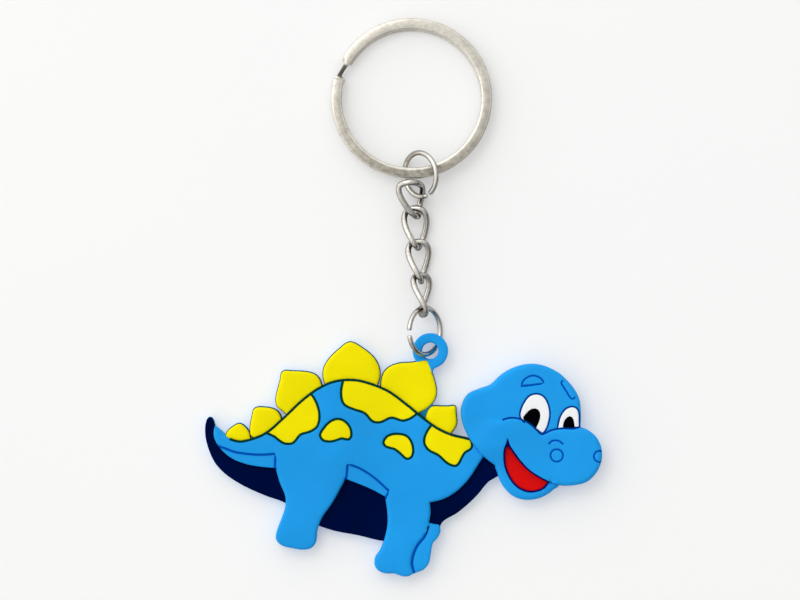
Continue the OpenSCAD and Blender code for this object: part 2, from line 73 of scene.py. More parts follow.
def flat_edges(node, level, facing=1):
    """The border of a node's flat faces at one height, as directed pairs of (x, y) points."""
    mesh = frame["nodes"][node].data
    points = [(round(v.co.x / MM, 3), round(v.co.y / MM, 3), v.co.z / MM) for v in mesh.vertices]
    net = {}
    for face in mesh.polygons:
        ring = [points[i] for i in face.vertices]
        if face.normal.z * facing < FLAT_NORMAL or max(abs(p[2] - level) for p in ring) > LEVEL_SLACK:
            continue
        for a, b in zip(ring, ring[1:] + ring[:1]):
            a, b = a[:2], b[:2]
            net[min(a, b), max(a, b)] = net.get((min(a, b), max(a, b)), 0) + (1 if a < b else -1)
    edges = []
    for (a, b), count in sorted(net.items()):
        edges += [(a, b) if count > 0 else (b, a)] * abs(count)
    return edges


def top_of(node):
    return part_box(node)[1].z / MM


def top_edges(node):
    return flat_edges(node, top_of(node))


def foot_edges(node):
    return flat_edges(node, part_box(node)[0].z / MM, facing=-1)


def inside(points, edges):
    """Which points the border winds around, by counting the edges crossed on the way out."""
    p = np.asarray(points, float).reshape(-1, 2)
    e = np.asarray(edges, float)
    found = np.zeros(len(p), bool)
    if len(e) == 0:
        return found
    ax, ay, bx, by = e[:, 0, 0], e[:, 0, 1], e[:, 1, 0], e[:, 1, 1]
    rise = np.where(by == ay, 1.0, by - ay)
    for start in range(0, len(p), BATCH):
        x, y = p[start:start + BATCH, :1], p[start:start + BATCH, 1:]
        crossed = x < ax + (y - ay) * (bx - ax) / rise
        up, down = (ay <= y) & (by > y), (ay > y) & (by <= y)
        found[start:start + BATCH] = (crossed & up).sum(1) != (crossed & down).sum(1)
    return found


def triangulate(points, edges):
    """A Delaunay mesh of the points that keeps every edge. Gives points and triangles."""
    result = delaunay_2d_cdt([Vector(p) for p in points], edges, [], 0, SNAP / 2)
    return np.array([tuple(v) for v in result[0]]), np.array(result[2], int).reshape(-1, 3)


def combine(keep, cut=()):
    """The border of all that lies inside a border in keep and outside every border in cut."""
    borders = [e for e in list(keep) + list(cut) if len(e)]
    flat = [p for border in borders for edge in border for p in edge]
    points, triangles = triangulate(flat, [(i, i + 1) for i in range(0, len(flat), 2)])
    middles = points[triangles].mean(1)
    chosen = np.zeros(len(triangles), bool)
    for border in keep:
        chosen |= inside(middles, border)
    for border in cut:
        chosen &= ~inside(middles, border)
    edges = set()
    for a, b, c in triangles[chosen]:
        for edge in ((a, b), (b, c), (c, a)):
            if edge[::-1] in edges:
                edges.remove(edge[::-1])
            else:
                edges.add(edge)
    return sorted((tuple(points[a]), tuple(points[b])) for a, b in edges)


def chain(edges):
    """Directed edges joined end to start into closed loops."""
    after = {}
    for a, b in edges:
        after.setdefault(a, []).append(b)
    loops = []
    while after:
        first = min(after)
        loop, here = [], first
        while here in after:
            loop.append(here)
            nexts = after[here]
            if len(loop) > 1 and len(nexts) > 1:
                back = np.array(here) - np.array(loop[-2])
                nexts.sort(key=lambda q: -turn(back, np.array(q) - np.array(here)))
            following = nexts.pop()
            if not nexts:
                del after[here]
            here = following
            if here == first:
                break
        loops.append(np.array(loop))
    return loops


def turn(u, v):
    """The signed angle from direction u to direction v."""
    return math.atan2(u[0] * v[1] - u[1] * v[0], u[0] * v[0] + u[1] * v[1])


def area(loop):
    x, y = loop[:, 0], loop[:, 1]
    return 0.5 * float(np.sum(x * np.roll(y, -1) - np.roll(x, -1) * y))


def unit(v):
    return v / max(float(np.linalg.norm(v)), 1e-9)


def smooth_loop(loop):
    """The loop with a smooth curve through its points, and its corners kept."""
    kept = [p for p, q in zip(loop, np.roll(loop, 1, 0)) if np.linalg.norm(p - q) > SHORTEST_EDGE]
    n = len(kept)
    if n < 4:
        return loop
    steps = [kept[(i + 1) % n] - kept[i] for i in range(n)]
    corner = [abs(turn(steps[i - 1], steps[i])) > CORNER for i in range(n)]
    tangent = [unit(unit(steps[i - 1]) + unit(steps[i])) for i in range(n)]
    out = []
    for i in range(n):
        j = (i + 1) % n
        a, b, length = kept[i], kept[j], float(np.linalg.norm(steps[i]))
        u = unit(steps[i]) if corner[i] else tangent[i]
        v = unit(steps[i]) if corner[j] else tangent[j]
        count = max(1, round(length / EDGE_STEP))
        for t in (k / count for k in range(count)):
            out.append(a * (2 * t ** 3 - 3 * t ** 2 + 1) + b * (3 * t ** 2 - 2 * t ** 3)
                       + length * (u * (t ** 3 - 2 * t ** 2 + t) + v * (t ** 3 - t ** 2)))
    return np.array(out)


def outlines(edges, smallest=0.02):
    """Smooth closed loops of a border, without the specks."""
    loops = chain(combine([edges]))
    return [smooth_loop(loop) for loop in loops if len(loop) > 2 and abs(area(loop)) > smallest]


def closed_border(points):
    return list(zip(points, points[1:] + points[:1]))


def border_of(loops):
    return [(tuple(a), tuple(b)) for loop in loops for a, b in zip(loop, np.roll(loop, -1, 0))]


def parts_of(edges, wanted):
    """The border of only those closed loops that wanted() accepts."""
    return border_of([loop for loop in chain(combine([edges])) if wanted(loop)])


# --- soft PVC pieces ---
# Radius of an edge that meets its neighbour in a seam, and how far out that neighbour is looked for
SEAM = 0.07
REACH = 0.2
# A neighbour lower than this below a piece leaves the piece's edge free
LOWER = 0.5
# How far in from its edge a piece's crown has mostly risen
CROWN_WIDTH = 1.6
# Where rows of points run around a rounded edge, and the smallest depth that needs such a row
FILLET_ANGLES = [math.radians(a) for a in (22, 45, 67, 90)]
THIN_FILLET = 0.015
# A row's points stay at least this share of their depth from every other edge
FILLET_CLEARANCE = 0.85
# The inner points' rows lie this share of the grid apart, and keep this share of it from an edge
GRID_ROWS = 0.866
GRID_CLEARANCE = 0.3
CHARM_NODES = frame["record"]["behaviour"]["bodies"]["charm"]
FOOTPRINTS = {node: (top_of(node), top_edges(node)) for node in CHARM_NODES}


def nearest(points, starts, ends):
    """Distance from each point to the nearest of some line pieces, and the number of that piece."""
    distance, index = np.full(len(points), 1e6), np.zeros(len(points), int)
    if len(starts) == 0:
        return distance, index
    d = ends - starts
    length2 = np.maximum((d ** 2).sum(1), 1e-12)
    for first in range(0, len(points), BATCH):
        p = points[first:first + BATCH, None]
        t = np.clip(((p - starts) * d).sum(2) / length2, 0, 1)
        gap = np.sqrt(((starts + t[..., None] * d - p) ** 2).sum(2))
        best = gap.argmin(1)
        index[first:first + BATCH] = best
        distance[first:first + BATCH] = gap[np.arange(len(best)), best]
    return distance, index


def normals_in(loop):
    """Directions into the solid at each point of a loop, whose inside is on its left."""
    d = np.roll(loop, -1, 0) - np.roll(loop, 1, 0)
    n = np.stack([-d[:, 1], d[:, 0]], 1)
    return n / np.maximum(np.linalg.norm(n, axis=1, keepdims=True), 1e-9)


def seams(outside, own_nodes, own_border, peak):
    """Which edge points have a neighbour of much the same height just outside them."""
    found = inside(outside, own_border)
    for node, (height, edges) in FOOTPRINTS.items():
        if node not in own_nodes and height > peak - LOWER:
            found |= inside(outside, edges)
    return found


def drop(distance, radius):
    """How far a rounded edge lies below the flat, at a distance in from the wall."""
    share = np.clip(1 - distance / radius, 0, 1)
    return radius * (1 - np.sqrt(1 - share ** 2))


def fillet_rows(border, ends, inward, radii, outline):
    """Rows of points along the rounded edges, which make them come out round."""
    rows = []
    for angle in FILLET_ANGLES:
        depth = radii * (1 - math.cos(angle))
        row = border + inward * depth[:, None]
        clear, _ = nearest(row, border, ends)
        wanted = (clear > FILLET_CLEARANCE * depth) & (depth > THIN_FILLET)
        rows.append(row[wanted & inside(row, outline)])
    return rows


def inner_points(border, ends, radii, outline, grid):
    """A triangular lattice of points inside the outline, clear of the rounded edges."""
    lo, hi = border.min(0), border.max(0)
    columns = np.arange(lo[0], hi[0], grid)
    rows = np.arange(lo[1], hi[1], grid * GRID_ROWS)
    lattice = np.array([(x + grid / 2 * (j % 2), y) for j, y in enumerate(rows) for x in columns])
    clear, index = nearest(lattice, border, ends)
    return lattice[(clear > radii[index] + GRID_CLEARANCE * grid) & inside(lattice, outline)]


def fill_loops(loops, extra, outline):
    """Triangles that fill the loops, over the points of the loops and the extra ones."""
    starts = np.cumsum([0] + [len(loop) for loop in loops])
    rim = [(s + i, s + (i + 1) % (e - s)) for s, e in zip(starts, starts[1:]) for i in range(e - s)]
    points, triangles = triangulate(np.concatenate(loops + extra), rim)
    triangles = triangles[inside(points[triangles].mean(1), outline)]
    used = np.unique(triangles)
    renumber = np.full(len(points), -1)
    renumber[used] = np.arange(len(used))
    return points[used], renumber[triangles]


def heights(level, points):
    """The heights of a level at some points. A level is a number, or a function of points."""
    return level(points) if callable(level) else np.full(len(points), float(level))


def pillow(name, nodes, edges, low, top, free=0.3, crown=0.0, under=None, grid=0.7):
    """A closed soft piece over an outline: rounded edges, a slight crown and upright walls.

    low and top are levels. free is the radius of the edges that stand clear of their neighbours.
    under rounds the lower edge too.
    """
    loops = outlines(edges)
    outline = border_of(loops)
    border = np.concatenate(loops)
    ends = np.concatenate([np.roll(loop, -1, 0) for loop in loops])
    inward = np.concatenate([normals_in(loop) for loop in loops])
    seam = seams(border - REACH * inward, nodes, outline, top_of(nodes[0]))
    radii = np.where(seam, SEAM, free)
    extra = fillet_rows(border, ends, inward, radii, outline)
    extra.append(inner_points(border, ends, radii, outline, grid))
    points, triangles = fill_loops(loops, extra, outline)
    to_free, _ = nearest(points, border[~seam], ends[~seam])
    to_seam, _ = nearest(points, border[seam], ends[seam])
    to_edge = np.minimum(to_free, to_seam)
    height = heights(top, points) - np.maximum(drop(to_free, free), drop(to_seam, SEAM))
    height = height + crown * (1 - np.exp(-to_edge / CROWN_WIDTH))
    base = heights(low, points)
    if under is not None:
        base = base + drop(to_edge, under)
    return mesh_piece(name, points, triangles, height, base)


def mesh_piece(name, points, triangles, height, base):
    """A closed mesh between an upper and a lower surface over the same triangles."""
    n = len(points)
    upper = np.column_stack([points, height])
    lower = np.column_stack([points, base])
    faces = [tuple(t) for t in triangles] + [(t[2] + n, t[1] + n, t[0] + n) for t in triangles]
    edges = set()
    for a, b, c in triangles:
        edges.update(((a, b), (b, c), (c, a)))
    faces += [(b, a, a + n, b + n) for a, b in edges if (b, a) not in edges]
    return make_object(name, np.concatenate([upper, lower]), faces)


# A crease between two faces sharper than this is drawn sharp
SHARP = math.radians(38)


def make_object(name, points, faces):
    """A mesh object, smoothly shaded, from points in millimetres."""
    mesh = bpy.data.meshes.new(name)
    mesh.from_pydata([tuple(float(c) * MM for c in p) for p in points], [],
                     [tuple(int(i) for i in f) for f in faces])
    mesh.validate()
    mesh.polygons.foreach_set("use_smooth", [True] * len(mesh.polygons))
    mesh.set_sharp_from_angle(angle=SHARP)
    piece = bpy.data.objects.new(name, mesh)
    bpy.context.scene.collection.objects.link(piece)
    return piece


# --- materials ---
def linear(colour):
    """An sRGB colour as the linear one that shaders take."""
    parts = [c / 12.92 if c <= 0.04045 else ((c + 0.055) / 1.055) ** 2.4 for c in colour]
    return (*parts, 1.0)


def scaled(colour, share):
    """A colour made darker or lighter by a share, and kept below white."""
    return tuple(min(1, c * share) for c in colour)


def node_tools(material):
    """A material's main shader, and two functions: one adds a node, the other links two sockets."""
    tree = material.node_tree
    shader = tree.nodes["Principled BSDF"]

    def add(kind, **inputs):
        made = tree.nodes.new(kind)
        for key, value in inputs.items():
            made.inputs[key.replace("_", " ")].default_value = value
        return made

    return shader, add, tree.links.new


def new_material(name):
    material = bpy.data.materials.new(name)
    material.use_nodes = True
    return material


def noise(add, link, place, scale, detail, rough=0.55):
    """A noise texture whose scale counts features a millimetre."""
    made = add("ShaderNodeTexNoise", Scale=scale / MM, Detail=detail, Roughness=rough)
    link(place, made.inputs["Vector"])
    return made.outputs["Fac"]


def ramp(add, link, value, stops):
    """A colour ramp on a value; stops are (position, linear colour)."""
    made = add("ShaderNodeValToRGB")
    points = made.color_ramp.elements
    for element, (position, colour) in zip(points, (stops[0], stops[-1])):
        element.position, element.color = position, colour
    for position, colour in stops[1:-1]:
        points.new(position).color = colour
    link(value, made.inputs["Fac"])
    return made.outputs["Color"]


def spread(add, link, value, taken, given):
    """A value inside the range taken, mapped to the range given."""
    made = add("ShaderNodeMapRange", From_Min=taken[0], From_Max=taken[1], To_Min=given[0],
               To_Max=given[1])
    link(value, made.inputs["Value"])
    return made.outputs["Result"]


# Numbers of a mix node's sockets for colours, because other sockets have the same names
MIX_SHARE = 0
MIX_FIRST = 6
MIX_SECOND = 7
MIX_RESULT = 2


def mix(add, link, share, first, second):
    """A share of the way from the first colour, a socket, to the second, a linear colour."""
    made = add("ShaderNodeMix")
    made.data_type = "RGBA"
    link(share, made.inputs[MIX_SHARE])
    link(first, made.inputs[MIX_FIRST])
    made.inputs[MIX_SECOND].default_value = second
    return made.outputs[MIX_RESULT]


def soft_pvc(name, colour, gloss=0.52, depth=0.1, mottle=0.03, shine=0.07):
    """Soft moulded PVC: matte satin, slightly mottled, with a fine skin."""
    material = new_material(name)
    shader, add, link = node_tools(material)
    place = add("ShaderNodeTexCoord").outputs["Object"]
    dark = linear(scaled(colour, 1 - mottle))
    light = linear(scaled(colour, 1 + mottle))
    cloudy = noise(add, link, place, scale=0.09, detail=2.0)
    link(ramp(add, link, cloudy, [(0.3, dark), (0.7, light)]), shader.inputs["Base Color"])
    skin = noise(add, link, place, scale=1.1, detail=4.0, rough=0.6)
    uneven = spread(add, link, skin, (0.3, 0.7), (gloss - 0.05, gloss + 0.07))
    link(uneven, shader.inputs["Roughness"])
    fine = add("ShaderNodeBump", Strength=0.12, Distance=0.02 * MM)
    waves = add("ShaderNodeBump", Strength=0.5, Distance=0.05 * MM)
    link(noise(add, link, place, scale=7.0, detail=2.0), fine.inputs["Height"])
    link(noise(add, link, place, scale=0.35, detail=1.0), waves.inputs["Height"])
    link(waves.outputs["Normal"], fine.inputs["Normal"])
    link(fine.outputs["Normal"], shader.inputs["Normal"])
    shader.inputs["Subsurface Weight"].default_value = depth
    shader.inputs["Subsurface Radius"].default_value = (0.9, 0.9, 0.9)
    shader.inputs["Subsurface Scale"].default_value = 0.5 * MM
    shader.inputs["Specular IOR Level"].default_value = shine
    return material


PAINT = {
    "pvc_blue": soft_pvc("soft_pvc_blue", (0.11, 0.61, 0.915)),
    "pvc_yellow": soft_pvc("soft_pvc_yellow", (0.955, 0.90, 0.0), shine=0.04),
    "pvc_navy": soft_pvc("soft_pvc_navy", (0.0, 0.05, 0.225), depth=0.0, mottle=0.12, shine=0.0),
    "pvc_red": soft_pvc("soft_pvc_red", (0.87, 0.05, 0.05), shine=0.04),
    "pvc_white": soft_pvc("soft_pvc_white", (0.955, 0.96, 0.97), mottle=0.02),
    "pvc_black": soft_pvc("soft_pvc_black", (0.01, 0.01, 0.03), depth=0.0, shine=0.0),
    # Painted shade: the dark green, royal and dark blue line colours stand for the shade in the
    # grooves the lines lie in
    "pvc_dark_green": soft_pvc("groove_shade_dark_green", (0.01, 0.23, 0.19), depth=0.0, shine=0.0),
    "pvc_royal": soft_pvc("groove_shade_royal_blue", (0.0, 0.32, 0.74), depth=0.0, shine=0.0),
    "pvc_ink": soft_pvc("groove_shade_dark_blue", (0.0, 0.24, 0.58), depth=0.0, shine=0.0),
}
# Painted shade: the blue backing's colour in shade, for the bed under the plates
BED_SHADE_TEAL = soft_pvc("bed_shade_teal", (0.02, 0.30, 0.36), depth=0.0, shine=0.0)
# Painted shade of the groove around the lips
LIP_GROOVE_SHADE = soft_pvc("lip_groove_shade", (0.03, 0.05, 0.38), depth=0.0, shine=0.0)
# Painted shade: the blue darkened for the shaded gap between the last two plates
GAP_SHADE_BLUE = soft_pvc("gap_shade_blue", (0.09, 0.50, 0.68))
SLOTS = {part["node"]: part["material_slot"] for part in frame["record"]["subparts"]}


def finish_piece(piece, body, slot, material, *nodes):
    """Paint a piece, hide the nodes it replaces, and fasten it to its body. Its slot is not used."""
    piece.data.materials.append(material)
    if nodes:
        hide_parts(*nodes)
    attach(piece, body)
    return piece


# --- the charm ---
BACKING_TOP = 1.4
POCKET_FLOOR = 2.2
PLATES = [f"plate_{number}" for number in range(1, 7)]
PATCHES = [f"patch_{number}" for number in range(1, 6)]
# Edge radius of the lines and fills that lie between other pieces
LINE_EDGE = 0.06
# Free edge radius, crown, bottom height and lift above the CAD top of each PVC node. The lines,
# whose dark colours are painted shade of their grooves, are lifted until they are nearly flush
# with the blue around them
CHARM_STYLE = {
    "navy_layer": (0.3, 0.0, BACKING_TOP, 0.0),
    "torso": (0.45, 0.06, BACKING_TOP, 0.0),
    "tail_strip": (0.12, 0.04, BACKING_TOP, 0.0),
    "crotch_strip": (0.12, 0.04, BACKING_TOP, 0.0),
    "far_foreleg": (0.35, 0.0, BACKING_TOP, 0.0),
    "patch_outline": (0.12, 0.0, BACKING_TOP, 0.12),
    "body_line": (LINE_EDGE, 0.0, BACKING_TOP, 0.15),
}
CHARM_STYLE.update({plate: (0.38, 0.12, BACKING_TOP, 0.0) for plate in PLATES})
CHARM_STYLE.update({patch: (0.12, 0.05, POCKET_FLOOR, 0.0) for patch in PATCHES})
for node, (free, crown, low, lift) in CHARM_STYLE.items():
    top = top_of(node) - crown + lift
    piece = pillow(f"{node}_skin", [node], top_edges(node), low, top, free, crown)
    finish_piece(piece, "charm", SLOTS[node], PAINT[SLOTS[node]], node)

# The line between the forelegs lies lower than the other body lines
LEG_LINE_SINK = 0.1
LEG_LINE_LIFT = 0.08
leg_line_level = top_of("far_foreleg") - LEG_LINE_SINK
leg_line = pillow("leg_line_skin", ["body_line"], flat_edges("body_line", leg_line_level),
                  BACKING_TOP, leg_line_level + LEG_LINE_LIFT, free=LINE_EDGE)
finish_piece(leg_line, "charm", SLOTS["body_line"], PAINT["pvc_royal"], "body_line")

backing = pillow("backing_skin", ["backing_layer"], top_edges("backing_layer"),
                 0.0, top_of("backing_layer"), free=0.2, under=0.3, grid=1.0)
finish_piece(backing, "charm", "pvc_blue", PAINT["pvc_blue"], "backing_layer")

# The plates stand in a bed coloured teal as painted shade of the blue backing, which shows as a thin
# line around them and in their gaps
BED_DEPTH = 0.2
BED_LIFT = 0.02
ON_BACKING = ["torso", "tail_strip", "crotch_strip", "navy_layer", "far_foreleg", "head", "jaw",
              "hanging_eyelet"]
beside_bed = [foot_edges(node) for node in ON_BACKING] + [top_edges("torso"), top_edges("navy_layer")]
bed = pillow("plate_bed", ["backing_layer"], combine([top_edges("backing_layer")], beside_bed),
             BACKING_TOP - BED_DEPTH, BACKING_TOP + BED_LIFT, free=LINE_EDGE)
finish_piece(bed, "charm", "pvc_dark_green", BED_SHADE_TEAL)

# A darker blue, painted shade, fills the gap between the last two plates and the back
GAP_PTS = [(1.6, -17.6), (2.4, -16.7), (4.6, -16.3), (4.4, -18.6), (3.0, -19.4)]
GAP_TOP = 2.2
around_gap = [top_edges(node) for node in ["plate_5", "plate_6", "torso", "patch_outline"] + PATCHES]
gap_edges = combine([closed_border(GAP_PTS)], around_gap)
gap = pillow("gap_fill", ["backing_layer"], gap_edges, BACKING_TOP, GAP_TOP, free=LINE_EDGE)
finish_piece(gap, "charm", "pvc_blue", GAP_SHADE_BLUE)

# The eyelet hangs a little above the backing, and its neck comes down to meet it
EYELET_UNDERSIDE = 1.5
NECK_START = -9.9
NECK_SLOPE = 0.8


def eyelet_bottom(points):
    share = np.clip((NECK_START - points[:, 1]) / NECK_SLOPE, 0, 1)
    return EYELET_UNDERSIDE + (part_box("hanging_eyelet")[0].z / MM - EYELET_UNDERSIDE) * share


def disc(centre, radius, count=32):
    """The border of a circle."""
    angles = np.arange(count) * 2 * math.pi / count
    return closed_border([(centre[0] + radius * math.cos(a), centre[1] + radius * math.sin(a))
                          for a in angles])


# The soft rim bulges into the hole, so the CAD's hole is filled and a smaller one cut
EYELET_AT = (4.16, -8.27)
EYELET_HOLE = 1.27
EYELET_FILL = 1.3 * EYELET_HOLE
eyelet_edges = combine([top_edges("hanging_eyelet"), disc(EYELET_AT, EYELET_FILL)],
                       [disc(EYELET_AT, EYELET_HOLE)])
eyelet = pillow("eyelet_skin", ["hanging_eyelet"], eyelet_edges, eyelet_bottom,
                top_of("hanging_eyelet"), free=0.34, under=0.3, grid=0.5)
finish_piece(eyelet, "charm", "pvc_blue", PAINT["pvc_blue"], "hanging_eyelet")

# The head, muzzle and jaw are one relief. The muzzle stands above the brow, with a step along the
# line of the cheek that fades to nothing behind it, and the jaw lies below the line of the lip
CHEEK_START = 15.3
CHEEK_LINE = np.array([(8.0, -18.4), (12.0, -18.9), (CHEEK_START, -18.9), (16.3, -18.62),
                       (17.6, -18.67), (18.95, -19.18), (20.0, -19.9), (20.9, -20.8),
                       (21.4, -21.2), (22.0, -20.9), (23.0, -20.45), (24.6, -20.2),
                       (26.3, -20.25), (32.0, -19.3)])
LIP_LINE = [(16.05, -21.9), (16.1, -22.55), (16.95, -23.8), (17.9, -25.1), (19.3, -26.6),
            (20.9, -27.7), (22.45, -28.5), (24.4, -29.05)]
JAW_SIDE = LIP_LINE + [(24.4, -33.0), (8.0, -33.0), (8.0, -21.9)]
# The crease that carries the lip's line on to the edge of the head
CREASE = [(22.3, -28.42), (24.5, -29.06), (24.5, -29.12), (22.3, -28.48)]
HEAD_TOP = top_of("head")
MUZZLE_TOP = top_of("muzzle")
JAW_TOP = top_of("jaw")
# The step is this wide, and wider behind the cheek's start, where it fades over this length
CHEEK_STEP = 0.45
FADE_LENGTH = 5.5
FADE_WIDTH = 5.0
FADE_POWER = 1.3
# Heights between which the cheek comes down to the jaw
JAW_START = -22.6
JAW_END = -27.0
HEAD_EDGE = 0.65


def ease(share):
    """A share from 0 to 1 that starts and ends gently."""
    share = np.clip(share, 0, 1)
    return share ** 2 * (3 - 2 * share)


def head_height(points):
    """The head and the muzzle without the jaw."""
    x, y = points[:, 0], points[:, 1]
    below = np.interp(x, CHEEK_LINE[:, 0], CHEEK_LINE[:, 1]) - y
    gap, _ = nearest(points, CHEEK_LINE[:-1], CHEEK_LINE[1:])
    fade = np.clip((CHEEK_START - x) / FADE_LENGTH, 0, 1)
    width = CHEEK_STEP + FADE_WIDTH * fade ** FADE_POWER
    share = np.clip(np.where(below > 0, gap, 0) / width, 0, 1)
    rise = np.sqrt(1 - (1 - share) ** 2) * (1 - fade) + ease(share) * fade
    return HEAD_TOP + (MUZZLE_TOP - HEAD_TOP) * rise * (1 - fade ** 2)


def down_to_jaw(points):
    """How far the cheek has come down to the jaw, from 0 to 1."""
    return ease((JAW_START - points[:, 1]) / (JAW_START - JAW_END))


def face_height(points):
    """The whole relief: head, muzzle and jaw."""
    high = head_height(points)
    jaw = np.where(inside(points, closed_border(JAW_SIDE)), down_to_jaw(points), 0)
    return high + (JAW_TOP - high) * jaw


head_outline = combine([foot_edges("head"), foot_edges("jaw"), top_edges("jaw")])
head_rim = np.array(border_of(outlines(head_outline)))


def inlaid(base, sink):
    """The height of a fill let into the head: a little below it, and rounded off with its rim."""
    def height(points):
        to_rim, _ = nearest(points, head_rim[:, 0], head_rim[:, 1])
        return base(points) - sink - drop(to_rim, HEAD_EDGE)

    return height


def brow_level(points):
    return np.full(len(points), HEAD_TOP)


def lip_level(points):
    return HEAD_TOP + (JAW_TOP - HEAD_TOP) * down_to_jaw(points)


# The lips meet in a filled corner above the mouth
LIP_CORNER = [(16.09, -21.72), (15.55, -23.15), (15.85, -22.98), (16.3, -22.95), (16.62, -23.2)]
# The near brow stands on a heavier line
BROW_BASE = [(18.1, -13.85), (20.0, -13.66), (21.25, -13.38), (21.2, -13.2), (20.0, -13.36),
             (18.3, -13.5)]
# The lines of the face are one node: the brows lie above this height, the lips below that one,
# and the outlines of the eyes between them
BROWS_ABOVE = -16.0
LIPS_BELOW = -21.8
# How far the fills of the face lie below the blue around them
LINE_SINK = 0.03
EYE_SINK = 0.03
PUPIL_SINK = 0.01


def is_brow(loop):
    return loop[:, 1].min() > BROWS_ABOVE


def is_lip(loop):
    return loop[:, 1].max() < LIPS_BELOW


def is_eye_line(loop):
    return not is_brow(loop) and not is_lip(loop)


FACE_LINES = top_edges("face_line")
brows = combine([parts_of(FACE_LINES, is_brow), closed_border(BROW_BASE)])
lips = combine([parts_of(FACE_LINES, is_lip), closed_border(LIP_CORNER)])
mouth_edges = combine([top_edges("mouth")], [closed_border(LIP_CORNER)])
# Name, node, border, level, sink and material of each fill
INLAYS = [
    ("near_eye_skin", "near_eye", top_edges("near_eye"), brow_level, EYE_SINK, PAINT["pvc_white"]),
    ("far_eye_skin", "far_eye", top_edges("far_eye"), brow_level, EYE_SINK, PAINT["pvc_white"]),
    ("near_pupil_skin", "near_pupil", top_edges("near_pupil"), brow_level, PUPIL_SINK,
     PAINT["pvc_black"]),
    ("far_pupil_skin", "far_pupil", top_edges("far_pupil"), brow_level, PUPIL_SINK,
     PAINT["pvc_black"]),
    ("brow_line_skin", "face_line", brows, brow_level, LINE_SINK, PAINT["pvc_royal"]),
    ("lip_line_skin", "face_line", lips, lip_level, LINE_SINK, LIP_GROOVE_SHADE),
    ("eye_line_skin", "face_line", parts_of(FACE_LINES, is_eye_line), brow_level, LINE_SINK,
     PAINT["pvc_ink"]),
    ("nostril_line_skin", "nostril_line", top_edges("nostril_line"), face_height, LINE_SINK,
     PAINT["pvc_royal"]),
]
let_into_head = [edges for _, _, edges, *_ in INLAYS] + [mouth_edges, closed_border(CREASE)]
head = pillow("head_skin", ["head", "muzzle", "jaw"], combine([head_outline], let_into_head),
              BACKING_TOP, face_height, free=HEAD_EDGE, grid=0.45)
finish_piece(head, "charm", "pvc_blue", PAINT["pvc_blue"], "head", "muzzle", "jaw")
mouth = pillow("mouth_skin", ["mouth"], mouth_edges, POCKET_FLOOR, top_of("mouth"), free=0.08)
finish_piece(mouth, "charm", "pvc_red", PAINT["pvc_red"], "mouth")
for name, node, edges, level, sink, material in INLAYS:
    piece = pillow(name, [node], edges, POCKET_FLOOR, inlaid(level, sink), free=LINE_EDGE, grid=0.5)
    finish_piece(piece, "charm", SLOTS[node], material, node)


# --- metal ---
NICKEL = (0.90, 0.885, 0.855)
COIL_NICKEL = (0.88, 0.862, 0.822)
BROWN_WEAR = linear((0.50, 0.46, 0.40))
# Painted shade for the sides of the wires of the jump rings and links
SIDE_SHADE_GREY = linear((0.33, 0.31, 0.28))
# Grey of the band's middle: wear, and painted shade that leaves the rims as painted highlights
WEAR_AND_SHADE_GREY = linear((0.50, 0.475, 0.43))
JOG_SHADE = linear((0.30, 0.28, 0.25))
BLACK = (0.0, 0.0, 0.0, 1.0)
WHITE = (1.0, 1.0, 1.0, 1.0)
# The ring's wire, a flat band that lies in two turns, with a small gap between them
RING_OUTER = 25.0
RING_BAND = 1.7
RING_AT = (1.25, 30.8)
COIL_HEIGHT = 0.82
COIL_GAP = 0.06
BAND_ROUND = 0.22
# The ring lies tilted: its end away from the charm is this much higher
RING_LIFT = 1.4
# In degrees: where the jog from the upper turn to the lower one ends, how long the jog is, and
# the gap from there to the free end of the upper turn
JOG_ANGLE = 164.0
JOG_SPAN = 12.0
END_GAP = 1.0
RING_RADIUS = RING_OUTER / 2 - RING_BAND / 2
# Painted shade: a wire is painted darker where its surface faces up least, and left bright where it
# faces up most
SIDE_SHADE_SLOPES = (0.3, 0.85)
SIDE_SHADE_SHARES = (0.95, 0.0)
# The middle of the band is painted darker, partly as wear and partly as painted shade that leaves its
# rims as painted highlights. It fades in between these shares of its width from either rim
WEAR_SHADE_START = 0.1
WEAR_SHADE_FULL = 0.24
# It is strongest next to the chain, where the wear is, and weakest opposite it, between these
# distances
WEAR_DISTANCES = (4 * MM, 24 * MM)
WEAR_SHARES = (1.0, 0.35)
# The painted shade of the jog fades out between these distances from its middle
JOG_DISTANCES = (0.9 * MM, 1.25 * MM)
JOG_SHARES = (0.85, 0.0)


def nickel(name, shade, tint=NICKEL, rough=0.16, stain=0.35):
    """Worn nickel plate: fine scratches, uneven gloss and faint brown wear.

    shade(add, link, place, colour) darkens the colour by where it is on the part: painted shade, and
    on the split ring also wear.
    """
    material = new_material(name)
    shader, add, link = node_tools(material)
    place = add("ShaderNodeTexCoord").outputs["Object"]
    cloudy = noise(add, link, place, scale=0.45, detail=3.0)
    stains = noise(add, link, place, scale=1.6, detail=5.0, rough=0.7)
    worn = spread(add, link, stains, (0.5, 0.68), (0.0, stain))
    plate = ramp(add, link, cloudy, [(0.3, linear(scaled(tint, 0.93))), (0.7, linear(tint))])
    colour = mix(add, link, worn, plate, BROWN_WEAR)
    link(shade(add, link, place, colour), shader.inputs["Base Color"])
    scratches = noise(add, link, place, scale=9.0, detail=6.0, rough=0.75)
    uneven = spread(add, link, scratches, (0.3, 0.7), (rough - 0.07, rough + 0.13))
    link(uneven, shader.inputs["Roughness"])
    bump = add("ShaderNodeBump", Strength=0.35, Distance=0.012 * MM)
    link(scratches, bump.inputs["Height"])
    dents = add("ShaderNodeBump", Strength=0.4, Distance=0.03 * MM)
    link(noise(add, link, place, scale=0.9, detail=2.0), dents.inputs["Height"])
    link(dents.outputs["Normal"], bump.inputs["Normal"])
    link(bump.outputs["Normal"], shader.inputs["Normal"])
    shader.inputs["Metallic"].default_value = 1.0
    return material


